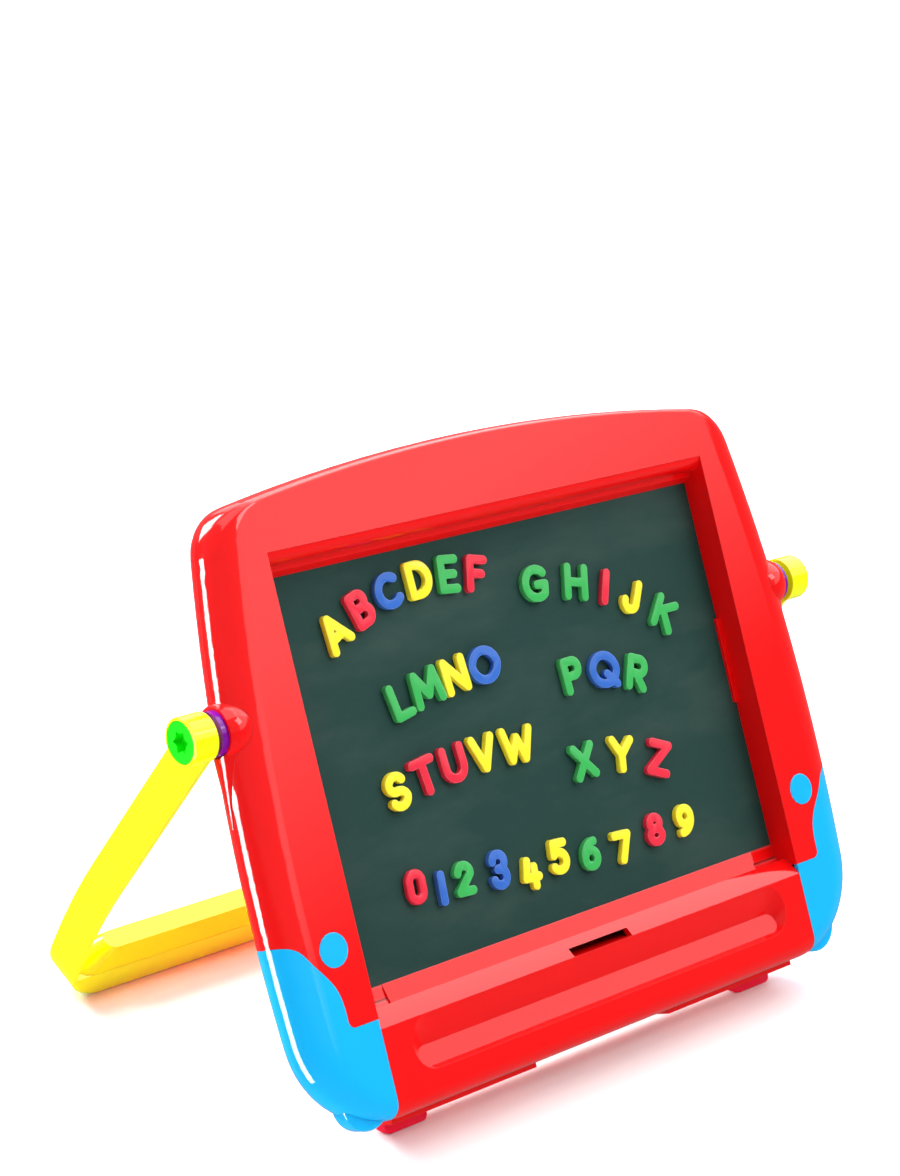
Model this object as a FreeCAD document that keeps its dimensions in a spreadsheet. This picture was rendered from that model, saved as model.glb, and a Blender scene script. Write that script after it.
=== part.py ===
"""Tabletop magnetic chalkboard easel for a child, as a parametric FreeCAD document.

Every piece is drawn in the case frame: X to the right, Y into the case from its front face,
Z up along the board, with Z = 0 at the front ledge.  The finished pieces are then leaned back
together, so that the two rubber feet and the bar of the handle stand on the floor, Z = 0, with
the origin under the middle of the whole object.  All sizes are in millimetres.
"""
import FreeCAD, Part
import Sketcher
import math
import os
from FreeCAD import Placement, Rotation, Vector

doc = FreeCAD.newDocument("ChalkboardEasel")

# ------------------------------------------------------------------ driving sizes
SIZES = {
    # case shell, two halves that meet on a seam half way through the depth
    "face_half_width": 217.0,
    "side_bulge": 24.0,
    "top_bulge": 4.0,
    "bottom_bulge": 11.0,
    "shell_depth": 34.0,
    "side_radius": 1150.0,
    "widest_level": 75.0,
    "top_level": 321.0,
    "top_radius": 1270.0,
    "bottom_level": -50.5,
    "top_corner_radius": 20.0,
    "bottom_corner_radius": 46.0,
    "wall": 3.0,
    # recess that holds the board, and the ledge under it
    "window_half_width": 183.0,
    "window_top": 278.0,
    "ceiling_drop": 15.0,
    "ledge_start": -6.2,
    "ledge_rise": 21.2,
    "board_depth": 20.0,
    "rim_wall": 2.5,
    "lip_half_width": 160.0,
    "slot_length": 51.0,
    "slot_height": 5.2,
    "slot_level": -3.6,
    "groove_half_length": 163.0,
    "groove_radius": 16.6,
    "groove_level": -23.1,
    "groove_floor_half_length": 156.5,
    "groove_floor_radius": 6.5,
    "groove_floor_level": -31.5,
    "groove_depth": 8.0,
    "groove_tip_angle": 21.0,
    "slot_depth": 15.0,
    # board and what backs it
    "board_thickness": 1.2,
    "board_margin": 4.0,
    "backing_thickness": 3.0,
    "clip_level": 141.5,
    "clip_length": 57.0,
    "clip_proud": 3.0,
    # blue corner boots, their plugs and bumps
    "boot_step": 17.0,
    "boot_height": 57.0,
    "boot_gap": 0.15,
    "plug_radius": 10.2,
    "plug_across": 203.0,
    "plug_level": 46.5,
    "plug_depth": 6.0,
    "plug_proud": 0.6,
    "bump_across": 197.0,
    "bump_radius": 18.0,
    "bump_depth": 14.0,
    "bump_drop": 4.6,
    # rear cover, plinth and rubber feet
    "cover_half_width": 176.0,
    "cover_top": 250.0,
    "cover_depth": 12.0,
    "cover_corner": 9.0,
    "cover_edge": 4.0,
    "panel_inset": 24.0,
    "panel_corner": 12.0,
    "panel_sunk": 1.2,
    "panel_low_inset": 38.0,
    "panel_top_inset": 28.0,
    "opening_half_width": 150.0,
    "opening_low": -35.0,
    "opening_top_inset": 25.0,
    "plinth_drop": 4.2,
    "plinth_inner": 58.6,
    "plinth_front": 20.3,
    "foot_across": 153.0,
    "foot_width": 33.0,
    "foot_front": 37.0,
    "foot_drop": 8.3,
    "foot_round": 4.0,
    # pivots
    "pivot_level": 184.0,
    "boss_radius": 15.6,
    "boss_proud": 0.6,
    "dome_middle": 8.0,
    "washer_radius": 13.6,
    "washer_thickness": 4.5,
    "shaft_radius": 6.0,
    "shaft_clearance": 0.06,
    "body_gap": 0.3,
    "star_outer": 7.6,
    "star_inner": 5.0,
    "star_depth": 5.0,
    "nut_across": 20.0,
    "nut_thickness": 6.0,
    # handle, which is also the stand
    "arm_clearance": 3.8,
    "strap_thickness": 4.0,
    "strap_width": 27.0,
    "hub_radius": 14.8,
    "hub_length": 12.5,
    "collar_radius": 9.0,
    "cap_radius": 12.6,
    "cap_height": 9.6,
    "arm_angle": 29.5,
    "arm_straight": 150.0,
    "arm_bend": 13.7,
    "arm_bent_length": 111.0,
    "bar_depth": 20.0,
    "bar_corner": 28.0,
    "bar_round": 2.5,
    "bar_wall": 4.0,
    "channel_inset": 22.0,
    "grip_height": 14.0,
    "grip_gap": 1.5,
    "grip_end_slope": 24.0,
    "grip_top_radius": 7.3,
    "grip_top_drop": 1.2,
    "boss_inset": 31.0,
    "shaft_inset": 23.0,
    "fairing_length": 48.0,
    "fairing_radius": 12.0,
    "fairing_tip": 1.5,
    # screws
    "case_screw_seat": 24.0,
    "screw_head_radius": 3.6,
    "screw_shank_radius": 1.7,
    "screw_length": 14.0,
    "post_radius": 4.6,
    # magnetic letters and digits
    "letter_height": 24.0,
    "digit_height": 21.5,
    "stroke_width": 5.6,
    "letter_thickness": 4.0,
    "letter_gap": 0.1,
    "slug_radius": 2.2,
    "slug_thickness": 2.0,
}


def bowed_half_width(level):
    """Half the width of the case's widest section at a level on its bowed sides."""
    half = SIZES["face_half_width"] + SIZES["side_bulge"]
    radius = SIZES["side_radius"] + SIZES["side_bulge"]
    return half - radius + math.sqrt(radius ** 2 - (level - SIZES["widest_level"]) ** 2)


# Places across the case that follow from its own width.
FOLLOWING = {
    "boss_face": bowed_half_width(SIZES["pivot_level"]) + SIZES["boss_proud"],
    "strap_inner_face": bowed_half_width(SIZES["widest_level"]) + SIZES["arm_clearance"],
}
FOLLOWING["hub_end"] = (FOLLOWING["strap_inner_face"] + SIZES["strap_thickness"]
                        + SIZES["hub_length"])

sheet = doc.addObject("Spreadsheet::Sheet", "Sizes")
for row, (name, value) in enumerate({**SIZES, **FOLLOWING}.items(), start=1):
    sheet.set("A%d" % row, name)
    sheet.set("B%d" % row, "%.9g" % value)
    sheet.setAlias("B%d" % row, name)
doc.recompute()


def size(name):
    """The value of one named cell of the sheet."""
    return float(sheet.get(name))


half_depth = size("shell_depth") / 2
wall = size("wall")
window_x = size("window_half_width")
board_y = size("board_depth")
ledge_top = size("ledge_start") + size("ledge_rise")
pivot_z = size("pivot_level")
cover_back = size("shell_depth") + size("cover_depth")
seat = board_y + size("board_thickness") + size("backing_thickness")
cover_seat = seat + size("screw_length") + 1.3
shell_bottom = size("bottom_level") - size("bottom_bulge")
plinth_bottom = shell_bottom - size("plinth_drop")
foot_bottom = plinth_bottom - size("foot_drop")
front = Vector(0, -1, 0)
back = Vector(0, 1, 0)


# ------------------------------------------------------------------ drawing helpers
def xz(x, z, y=0.0):
    """A point given across and up, at a depth."""
    return Vector(x, y, z)


def line(a, b):
    return Part.LineSegment(a, b).toShape()


def arc(a, via, b):
    return Part.Arc(a, via, b).toShape()


def prism(points, direction):
    """A straight-sided solid on a closed polygon."""
    return Part.Face(Part.makePolygon(points + [points[0]])).extrude(direction)


def box(x0, x1, y0, y1, z0, z1):
    return Part.makeBox(x1 - x0, y1 - y0, z1 - z0, Vector(x0, y0, z0))


def on_circle(centre, radius, towards):
    """The point of a circle that lies towards another point, in the XZ plane."""
    way = Vector(towards.x - centre.x, 0, towards.z - centre.z)
    return centre + way.normalize() * radius


def meet(c1, r1, c2, r2):
    """The crossing of two circles in the XZ plane that lies further right."""
    between = c2 - c1
    gap = between.Length
    along = (r1 * r1 - r2 * r2 + gap * gap) / (2 * gap)
    aside = math.sqrt(r1 * r1 - along * along)
    unit = between.normalize()
    normal = Vector(unit.z, 0, -unit.x)
    ends = [c1 + unit * along + normal * aside, c1 + unit * along - normal * aside]
    return max(ends, key=lambda p: p.x)


def mirrored(shape):
    """The same shape on the other side of the middle plane."""
    return shape.mirror(Vector(0, 0, 0), Vector(1, 0, 0))


def both_sides(shape):
    return [shape, mirrored(shape)]


def stadium(half_length, radius, place):
    """A closed wire of two straight runs and two half rounds, drawn in XZ and then placed."""
    c = half_length - radius
    wire = Part.Wire([
        line(xz(-c, -radius), xz(c, -radius)),
        arc(xz(c, -radius), xz(half_length, 0), xz(c, radius)),
        line(xz(c, radius), xz(-c, radius)),
        arc(xz(-c, radius), xz(-half_length, 0), xz(-c, -radius)),
    ])
    wire.Placement = place
    return wire


# ------------------------------------------------------------------ case shell
def case_outline(depth, side, top, bottom, inset=0.0):
    """One section of the case: an arched top, bowed sides and round corners.

    side, top and bottom are how far the section has swelled past the front face's outline.
    """
    half = size("face_half_width") + side - inset
    crown = size("top_level") + top - inset
    base = size("bottom_level") - bottom + inset
    round_top = size("top_corner_radius") + (side + top) / 2 - inset
    round_base = size("bottom_corner_radius") + (side + bottom) / 2 - inset
    side_r = size("side_radius") + side - inset
    top_r = size("top_radius") + top - inset
    side_c = xz(half - side_r, size("widest_level"))
    top_c = xz(0, crown - top_r)
    upper = meet(side_c, side_r - round_top, top_c, top_r - round_top)
    lower_z = base + round_base
    lower_x = side_c.x + math.sqrt((side_r - round_base) ** 2 - (lower_z - side_c.z) ** 2)
    lower = xz(lower_x, lower_z)
    a = xz(lower.x, base)
    b = on_circle(side_c, side_r, lower)
    c = on_circle(side_c, side_r, upper)
    d = on_circle(top_c, top_r, upper)
    mid_low = on_circle(lower, round_base, (a + b) * 0.5)
    mid_side = on_circle(side_c, side_r, (b + c) * 0.5)
    mid_high = on_circle(upper, round_top, (c + d) * 0.5)
    right = [(a, mid_low, b), (b, mid_side, c), (c, mid_high, d)]

    def flip(p):
        return xz(-p.x, p.z)

    edges = [line(flip(a), a)]
    edges += [arc(*points) for points in right]
    edges.append(arc(d, xz(0, crown), flip(d)))
    edges += [arc(flip(r), flip(q), flip(p)) for p, q, r in reversed(right)]
    wire = Part.Wire(edges)
    wire.translate(Vector(0, depth, 0))
    return wire


def half_shell(inset=0.0):
    """The front half of the case, solid: a quarter of an ellipse swept round the outline."""
    sections = []
    steps = 6
    for step in range(steps + 1):
        angle = math.pi / 2 * step / steps
        depth = half_depth - (half_depth - inset) * math.cos(angle)
        grow = math.sin(angle)
        sections.append(case_outline(depth, size("side_bulge") * grow, size("top_bulge") * grow,
                                     size("bottom_bulge") * grow, inset))
    return Part.makeLoft(sections, True, False)


def to_back(shape):
    """The same shape on the rear half of the case."""
    return shape.mirror(Vector(0, half_depth, 0), back)


front_solid = half_shell()
front_hollow = half_shell(wall)
rear_solid = to_back(front_solid)
rear_hollow = to_back(front_hollow)


def boot_region(side, gap=0.0):
    """The corner of the case that a boot takes: a step beside the tray, then a rising curve."""
    x0 = window_x + gap
    x1 = window_x + size("boot_step")
    top = size("boot_height") - gap
    out = size("face_half_width") + size("side_bulge") + 20
    rise = [xz(x1 + 4.5, 4.5 - gap), xz(x1 + 7.5, 25 - gap), xz(x1 + 20, 43 - gap), xz(x1 + 40, top)]
    curve = Part.BSplineCurve()
    curve.interpolate(rise, InitialTangent=Vector(0, 0, 1), FinalTangent=Vector(1, 0, 0.1))
    low = shell_bottom - 20
    corner = [line(xz(x0, low), xz(x0, -gap)), line(xz(x0, -gap), xz(x1, -gap)),
              arc(xz(x1, -gap), xz(x1 + 3.2, 1.3 - gap), rise[0]), curve.toShape(),
              line(rise[-1], xz(out, top)), line(xz(out, top), xz(out, low)),
              line(xz(out, low), xz(x0, low))]
    solid = Part.Face(Part.Wire(corner)).extrude(back * (size("shell_depth") + 10))
    solid.translate(front * 5)
    return solid if side > 0 else mirrored(solid)


boot_cuts = [boot_region(1), boot_region(-1)]


# ------------------------------------------------------------------ document objects and nodes
NODES = []


def register(obj, label):
    """Name a finished piece; its label is the name of its file."""
    obj.Label = label
    NODES.append(obj)
    return obj


def feature(label, shape):
    """A piece whose shape is set from Part's functions."""
    obj = doc.addObject("Part::Feature", label)
    obj.Shape = shape
    return register(obj, label)


def origin_plane(body, role):
    return next(f for f in body.Origin.OriginFeatures if f.Role == role)


def new_sketch(body, role, name, offset=0.0, formula=None):
    """A sketch on one of the body's own planes, moved along the plane's normal."""
    sketch = body.newObject("Sketcher::SketchObject", name)
    sketch.AttachmentSupport = (origin_plane(body, role), "")
    sketch.MapMode = "FlatFace"
    sketch.AttachmentOffset = Placement(Vector(0, 0, offset), Rotation())
    if formula:
        sketch.setExpression("AttachmentOffset.Base.z", formula)
    return sketch


def sketch_rectangle(sketch, left, right, low, high):
    """A rectangle whose four edges sit at distances given by formulas on the sheet."""
    corners = [(-1, -1), (1, -1), (1, 1), (-1, 1)]
    for (ax, ay), (bx, by) in zip(corners, corners[1:] + corners[:1]):
        sketch.addGeometry(Part.LineSegment(Vector(ax, ay, 0), Vector(bx, by, 0)))
    for here in range(4):
        sketch.addConstraint(Sketcher.Constraint("Coincident", here, 2, (here + 1) % 4, 1))
    for here, kind in enumerate(["Horizontal", "Vertical", "Horizontal", "Vertical"]):
        sketch.addConstraint(Sketcher.Constraint(kind, here))
    places = [("DistanceX", 0, 1, left, "left"), ("DistanceX", 0, 2, right, "right"),
              ("DistanceY", 0, 1, low, "low"), ("DistanceY", 3, 1, high, "high")]
    for kind, edge, end, formula, name in places:
        index = sketch.addConstraint(Sketcher.Constraint(kind, -1, 1, edge, end, 1.0))
        sketch.renameConstraint(index, name)
        sketch.setExpression("Constraints." + name, formula)


def sketch_circle(sketch, across, up, radius, name):
    """A circle whose place and radius are formulas on the sheet."""
    edge = sketch.addGeometry(Part.Circle(Vector(1, 1, 0), Vector(0, 0, 1), 1))
    kinds = [("DistanceX", across, "_x"), ("DistanceY", up, "_y")]
    for kind, formula, tail in kinds:
        index = sketch.addConstraint(Sketcher.Constraint(kind, -1, 1, edge, 3, 1.0))
        sketch.renameConstraint(index, name + tail)
        sketch.setExpression("Constraints." + name + tail, formula)
    index = sketch.addConstraint(Sketcher.Constraint("Radius", edge, 1.0))
    sketch.renameConstraint(index, name + "_r")
    sketch.setExpression("Constraints." + name + "_r", radius)


def pad(body, sketch, length, backwards=False):
    """A pad of a sketch, its length a formula on the sheet."""
    solid = body.newObject("PartDesign::Pad", sketch.Name + "Pad")
    solid.Profile = sketch
    solid.Reversed = backwards
    solid.setExpression("Length", length)
    body.Tip = solid
    return solid


# ------------------------------------------------------------------ front frame
def case_screw_places():
    """Where the halves of the case are screwed together, on the right-hand side."""
    edge = size("face_half_width")
    crown = size("top_level")
    return [(size("plug_across"), size("plug_level")), (edge - 14, 128), (edge - 20, crown - 58),
            (90, crown - 21), (90, size("bottom_level") + 3)]


def cover_screw_places():
    """Where the rear cover is screwed on, on the right-hand side."""
    across = size("cover_half_width") - 11
    return [(across, size("cover_top") - 14), (across, plinth_bottom + 24)]


def rod(radius, x, z, y0, y1):
    """A cylinder that runs through the depth of the case."""
    return Part.makeCylinder(radius, y1 - y0, Vector(x, y0, z), back)


def bar_rod(radius, x0, x1, y=None, z=None):
    """A cylinder that runs across, on the pivot's axis unless told otherwise."""
    start = Vector(x0, half_depth if y is None else y, pivot_z if z is None else z)
    return Part.makeCylinder(radius, x1 - x0, start, Vector(1, 0, 0))


def across_prism(edges, half_length):
    """A profile drawn in the YZ plane, run across the case from side to side."""
    face = Part.Face(Part.Wire(edges))
    face.translate(Vector(-half_length, 0, 0))
    return face.extrude(Vector(2 * half_length, 0, 0))


def yz(y, z):
    return Vector(0, y, z)


def ledge():
    """Under the board: a sloping rail, a trough behind it, and a steep lip against the board."""
    low = size("ledge_start")
    rail = yz(9.5, low + 10.8)
    trough = yz(10.6, low + 9.8)
    trough_end = yz(board_y - 3.5, low + 9.4)
    edges = [arc(yz(0, low), yz(4.5, low + 5.6), rail), line(rail, trough),
             line(trough, trough_end),
             arc(trough_end, yz(board_y - 1.7, low + 13.2), yz(board_y, ledge_top))]
    under = [yz(board_y, ledge_top), yz(board_y, ledge_top - 5), yz(14, low + 5), yz(8, low + 4),
             yz(wall, low - 4), yz(0, low - 4), yz(0, low)]
    edges += [line(a, b) for a, b in zip(under, under[1:])]
    rail_and_trough = across_prism(edges, window_x)
    lip = [yz(board_y - 4.8, low + 9.0), yz(board_y, ledge_top), yz(board_y, ledge_top - 6)]
    slant = across_prism([line(a, b) for a, b in zip(lip, lip[1:] + lip[:1])],
                         size("lip_half_width"))
    return rail_and_trough.fuse(slant)


def ceiling():
    """Over the board: a rounded overhang with a lip behind it."""
    high = size("window_top")
    drop = size("ceiling_drop")
    bend = yz(board_y - 7, high - 8)
    over = [bend, yz(board_y - 6, high - drop + 3.5), yz(board_y - 2, high - drop + 1),
            yz(board_y, high - drop), yz(board_y, high + size("rim_wall")),
            yz(0.5, high + size("rim_wall")), yz(0.5, high)]
    edges = [arc(yz(0.5, high), yz(3.2, high - 5.2), bend)]
    edges += [line(a, b) for a, b in zip(over, over[1:])]
    return across_prism(edges, window_x)


def groove_tool(extra=0.0):
    """The scoop in the tray: a long rounded mouth that narrows to a floor tipped upwards."""
    mouth = stadium(size("groove_half_length") + extra, size("groove_radius") + extra,
                    Placement(Vector(0, 0, size("groove_level")), Rotation()))
    middle = Vector(0, size("groove_depth") * 0.7 + extra, size("groove_floor_level"))
    floor = stadium(size("groove_floor_half_length") + extra, size("groove_floor_radius") + extra,
                    Placement(middle, Rotation(Vector(1, 0, 0), -size("groove_tip_angle"))))
    scoop = Part.makeLoft([mouth, floor], True, True)
    opening = Part.Face(mouth).extrude(front * 2)
    return scoop.fuse(opening) if extra == 0 else scoop


def boss(side):
    """The red dome round a pivot, with a tapered fairing under it, solid."""
    face = size("boss_face")
    middle = face - size("dome_middle")
    ball = Part.makeSphere(math.hypot(size("boss_radius"), size("dome_middle")),
                           Vector(middle, half_depth, pivot_z))
    dome = ball.common(bar_rod(size("boss_radius") * 2, window_x + size("boss_inset"), face))
    top = Vector(face - 9, half_depth, pivot_z - 8)
    tip = top + Vector(11.5, 0, -size("fairing_length"))
    fairing = Part.makeCone(size("fairing_radius"), size("fairing_tip"), (tip - top).Length, top,
                            tip - top)
    fairing = fairing.cut(bar_rod(size("washer_radius") + 0.8, face, face + 30))
    whole = dome.fuse(fairing).removeSplitter()
    return whole if side > 0 else mirrored(whole)


window = box(-window_x, window_x, -1, board_y + 1, size("ledge_start"), size("window_top"))
plug_cut = rod(size("plug_radius"), size("plug_across"), size("plug_level"), -1, size("plug_depth"))
boss_room = bar_rod(size("boss_radius"), size("boss_face") - 4, size("boss_face") + 12)
boss_cuts = [boss(1), boss(-1)] + both_sides(boss_room)


def front_frame():
    """The front half of the case, with the rim of the board's recess, the ledge and the tray."""
    rim = size("rim_wall")
    shell = front_solid.cut(front_hollow)
    tube = box(-window_x - rim, window_x + rim, 0.5, board_y, size("ledge_start") - rim,
               size("window_top") + rim)
    shell = shell.fuse(groove_tool(2.5)).cut(window)
    shell = shell.fuse([tube.cut(window), ledge(), ceiling()])
    shell = shell.cut(groove_tool())
    slot = box(-size("slot_length") / 2, size("slot_length") / 2, -2, size("slot_depth"),
               size("slot_level") - size("slot_height") / 2, size("slot_level") + size("slot_height") / 2)
    cuts = [slot] + boot_cuts + boss_cuts
    posts = []
    for x, z in case_screw_places():
        posts += both_sides(rod(size("post_radius"), x, z, wall - 0.5, half_depth))
        cuts += both_sides(rod(size("screw_shank_radius"), x, z, 9.5, half_depth + 1))
    collar = rod(size("plug_radius") + 2, size("plug_across"), size("plug_level"), 1,
                 size("plug_depth") + 2.5)
    shell = shell.fuse(posts + both_sides(collar))
    cuts += both_sides(plug_cut)
    clip = clip_box()
    return shell.cut(cuts + both_sides(clip)).removeSplitter()


def clip_box():
    """The place in the rim of a clip that holds the board forward, on the right."""
    half = size("clip_length") / 2
    return box(window_x - size("clip_proud"), window_x + size("rim_wall") + 2.0, board_y - 2.6,
               board_y, size("clip_level") - half, size("clip_level") + half)


# ------------------------------------------------------------------ rear frame and cover
def rear_frame():
    """The rear half of the case, open behind the board, with the plinth strips under it."""
    depth = size("shell_depth")
    shell = rear_solid.cut(rear_hollow)
    strips = both_sides(box(size("plinth_inner"), size("cover_half_width"), size("plinth_front"),
                            depth, plinth_bottom, shell_bottom + wall))
    shell = shell.fuse([s.cut(rear_hollow) for s in strips])
    outer = box(-window_x - 3, window_x + 3, seat, depth - 1, ledge_top, size("window_top") - 12)
    inner = box(-window_x, window_x, seat - 1, depth, ledge_top + 3, size("window_top") - 15)
    fill = [outer.cut(inner)]
    opening = size("opening_half_width")
    cuts = [box(-opening, opening, depth - wall - 1, depth + 1, size("opening_low"),
                size("cover_top") - size("opening_top_inset"))]
    cuts += boot_cuts + boss_cuts
    for x, z in case_screw_places():
        fill += both_sides(rod(size("post_radius") + 1.5, x, z, half_depth, depth - 1))
        cuts += both_sides(rod(size("screw_shank_radius"), x, z, half_depth - 1, depth))
        cuts += both_sides(rod(size("screw_head_radius") + 0.5, x, z, size("case_screw_seat"),
                               depth + 1))
    for x, z in cover_screw_places():
        fill += both_sides(rod(size("post_radius"), x, z, seat, depth))
        cuts += both_sides(rod(size("screw_shank_radius"), x, z, seat + 0.5, depth + 1))
    return shell.fuse(fill).cut(cuts).removeSplitter()


def rear_cover():
    """A shallow pan that closes the back, with a sunk panel and four screw wells."""
    half = size("cover_half_width")
    depth = size("shell_depth")
    low = plinth_bottom
    high = size("cover_top")
    pan = box(-half, half, depth, cover_back, low, high)
    upright = [e for e in pan.Edges if abs(e.tangentAt(e.FirstParameter).y) > 0.9]
    pan = pan.makeFillet(size("cover_corner"), upright)
    rear_edges = [e for e in pan.Edges if all(abs(v.Y - cover_back) < 1e-6 for v in e.Vertexes)]
    pan = pan.makeFillet(size("cover_edge"), rear_edges)
    hollow = box(-half + wall, half - wall, depth - 1, cover_back - wall, low + wall, high - wall)
    side_inset = half - size("panel_inset")
    panel = box(-side_inset, side_inset, cover_back - size("panel_sunk"), cover_back + 1,
                low + size("panel_low_inset"), high - size("panel_top_inset"))
    corner_edges = [e for e in panel.Edges if abs(e.tangentAt(e.FirstParameter).y) > 0.9]
    cuts = [panel.makeFillet(size("panel_corner"), corner_edges)]
    fill = []
    for x, z in cover_screw_places():
        fill += both_sides(rod(size("screw_head_radius") + 3, x, z, depth, cover_back - 1))
        cuts += both_sides(rod(size("screw_head_radius") + 0.5, x, z, cover_seat, cover_back + 1))
        cuts += both_sides(rod(size("screw_shank_radius"), x, z, depth - 1, cover_seat + 1))
    for side in (1, -1):
        cuts.append(foot_solid(side))
    return pan.cut(hollow).fuse(fill).cut(cuts).removeSplitter()


# ------------------------------------------------------------------ the lean, from what touches the floor
arm_tilt = Rotation(Vector(1, 0, 0), -size("arm_angle"))
bend_radius = size("arm_bent_length") / math.radians(size("arm_bend"))
pivot = Vector(0, half_depth, pivot_z)


def bend_point(radius, degrees):
    """A point of the arm's bent stretch, in the arm's own frame."""
    turn = math.radians(degrees)
    return Vector(0, size("arm_straight") + radius * math.sin(turn),
                  -bend_radius + radius * math.cos(turn))


bar_centre = pivot + arm_tilt.multVec(bend_point(bend_radius, size("arm_bend")))
bar_place = Placement(bar_centre, Rotation(Vector(1, 0, 0), -size("arm_angle") - size("arm_bend")))
heel = bar_place.multVec(Vector(0, -size("bar_round"), -size("strap_width") / 2 + size("bar_round")))
sole_front = Vector(0, size("foot_front") + 2, foot_bottom)
reach = heel - sole_front
lean = math.atan2(reach.z, reach.y) - math.asin(size("bar_round") / reach.Length)
floor_along = Vector(0, math.cos(lean), math.sin(lean))
floor_up = Vector(0, -math.sin(lean), math.cos(lean))


# ------------------------------------------------------------------ rubber feet
def foot_solid(side):
    """A rubber foot: a rounded block with a tongue, its sole cut level with the floor."""
    half = size("foot_width") / 2
    y0 = size("foot_front")
    rear = cover_back - 0.4
    block = box(-half, half, y0, rear, foot_bottom, plinth_bottom)
    corners = [e for e in block.Edges
               if abs(e.tangentAt(e.FirstParameter).y) > 0.9 and e.CenterOfMass.z < foot_bottom + 1]
    block = block.makeFillet(size("foot_round"), corners)
    tongue = box(-half + 6, half - 6, y0 + 2.5, rear - 3.5, plinth_bottom - 1, plinth_bottom + 7)
    below = [sole_front - floor_along * 20, sole_front + floor_along * 40]
    below += [below[1] - floor_up * 30, below[0] - floor_up * 30]
    floor = prism([p - Vector(half + 5, 0, 0) for p in below], Vector(2 * half + 10, 0, 0))
    solid = block.cut(floor).fuse(tongue)
    solid.translate(Vector(side * size("foot_across"), 0, 0))
    return solid


# ------------------------------------------------------------------ corner boots and bumps
def case_bottom_at(x):
    """The level of the case's underside at its widest section, near a bottom corner."""
    half = size("face_half_width") + size("side_bulge")
    radius = size("bottom_corner_radius") + (size("side_bulge") + size("bottom_bulge")) / 2
    side_r = size("side_radius") + size("side_bulge")
    centre_z = shell_bottom + radius
    centre_x = half - side_r + math.sqrt((side_r - radius) ** 2
                                         - (centre_z - size("widest_level")) ** 2)
    if x <= centre_x:
        return shell_bottom
    return centre_z - math.sqrt(radius ** 2 - (x - centre_x) ** 2)


rear_strip_cuts = both_sides(box(window_x - 10, size("cover_half_width"), size("plinth_front"),
                                 size("shell_depth"), plinth_bottom, shell_bottom + wall))
bump_level = case_bottom_at(size("bump_across")) - size("bump_drop") + size("bump_radius")


def rod_up(x, z):
    """The peg of a bump, which passes through the boot's skin."""
    low = z - size("bump_radius") + 3
    return Part.makeCylinder(3.0, 14, Vector(x, half_depth, low), Vector(0, 0, 1))


def corner_boot(side):
    """A blue corner: the case's own skin over the corner, front, side and back in one piece."""
    skin = front_solid.fuse(rear_solid).cut(front_hollow.fuse(rear_hollow))
    peg = rod_up(size("bump_across"), bump_level)
    hole = peg if side > 0 else mirrored(peg)
    cuts = rear_strip_cuts + [hole]
    return skin.common(boot_region(side, size("boot_gap"))).cut(cuts).removeSplitter()


def corner_foot(side):
    """A half-round blue bump under a corner, with its peg."""
    x, z = size("bump_across"), bump_level
    half = size("bump_depth") / 2
    disc = rod(size("bump_radius"), x, z, half_depth - half, half_depth + half)
    rims = [e for e in disc.Edges if len(e.Vertexes) == 1 and abs(e.tangentAt(0).y) < 0.1]
    disc = disc.makeFillet(3.0, rims)
    whole = disc.cut(front_solid.fuse(rear_solid)).fuse(rod_up(x, z)).removeSplitter()
    return whole if side > 0 else mirrored(whole)


# ------------------------------------------------------------------ handle
def arm():
    """One arm of the handle, flat: a straight stretch, a gentle bend and the hub's disc."""
    half = size("strap_width") / 2
    run = size("arm_straight")
    bend = size("arm_bend")
    outer = [bend_point(bend_radius + half, a) for a in (0, bend / 2, bend)]
    inner = [bend_point(bend_radius - half, a) for a in (bend, bend / 2, 0)]
    edges = [line(yz(0, half), outer[0]), arc(*outer), line(outer[2], inner[0]), arc(*inner),
             line(inner[2], yz(0, -half)), line(yz(0, -half), yz(0, half))]
    flat = Part.Face(Part.Wire(edges)).extrude(Vector(size("strap_thickness"), 0, 0))
    flat.Placement = Placement(Vector(size("strap_inner_face"), half_depth, pivot_z), arm_tilt)
    return flat


def hub():
    """The yellow hub outside an arm, and the collar inside it."""
    inner = size("strap_inner_face")
    drum = bar_rod(size("hub_radius"), inner, size("hub_end"))
    rim = [e for e in drum.Edges if len(e.Vertexes) == 1 and e.CenterOfMass.x > size("hub_end") - 0.1]
    drum = drum.makeFillet(1.2, rim)
    washer_face = size("boss_face") + size("washer_thickness")
    return drum.fuse(bar_rod(size("collar_radius"), washer_face + size("body_gap"), inner + 1))


def hub_cuts():
    """The bore for the pivot screw's shaft and the recess for its cap."""
    bore = bar_rod(size("shaft_radius") + size("shaft_clearance"), size("boss_face"), size("hub_end"))
    recess = bar_rod(size("cap_radius") + size("body_gap"),
                     size("hub_end") - size("cap_height") - size("body_gap"), size("hub_end") + 1)
    return [bore, recess]


def bar_corners():
    """What lies outside the two large round corners where the arms turn into the bar."""
    outside = size("strap_inner_face") + size("strap_thickness")
    radius = size("bar_corner")
    half = size("strap_width") / 2 + 1
    block = box(outside - radius, outside + 1, -radius, 1, -half, half)
    return block.cut(Part.makeCylinder(radius, 2 * half, Vector(outside - radius, -radius, -half)))


def channel():
    """The hollow along the inner side of the bar, which the tongue of the grip fills in part."""
    mouth = stadium(size("strap_inner_face") - size("channel_inset"),
                    size("strap_width") / 2 - size("bar_wall"),
                    Placement(Vector(0, -size("bar_depth"), 0), Rotation()))
    return Part.Face(mouth).extrude(back * (size("bar_depth") - size("bar_wall")))


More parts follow.
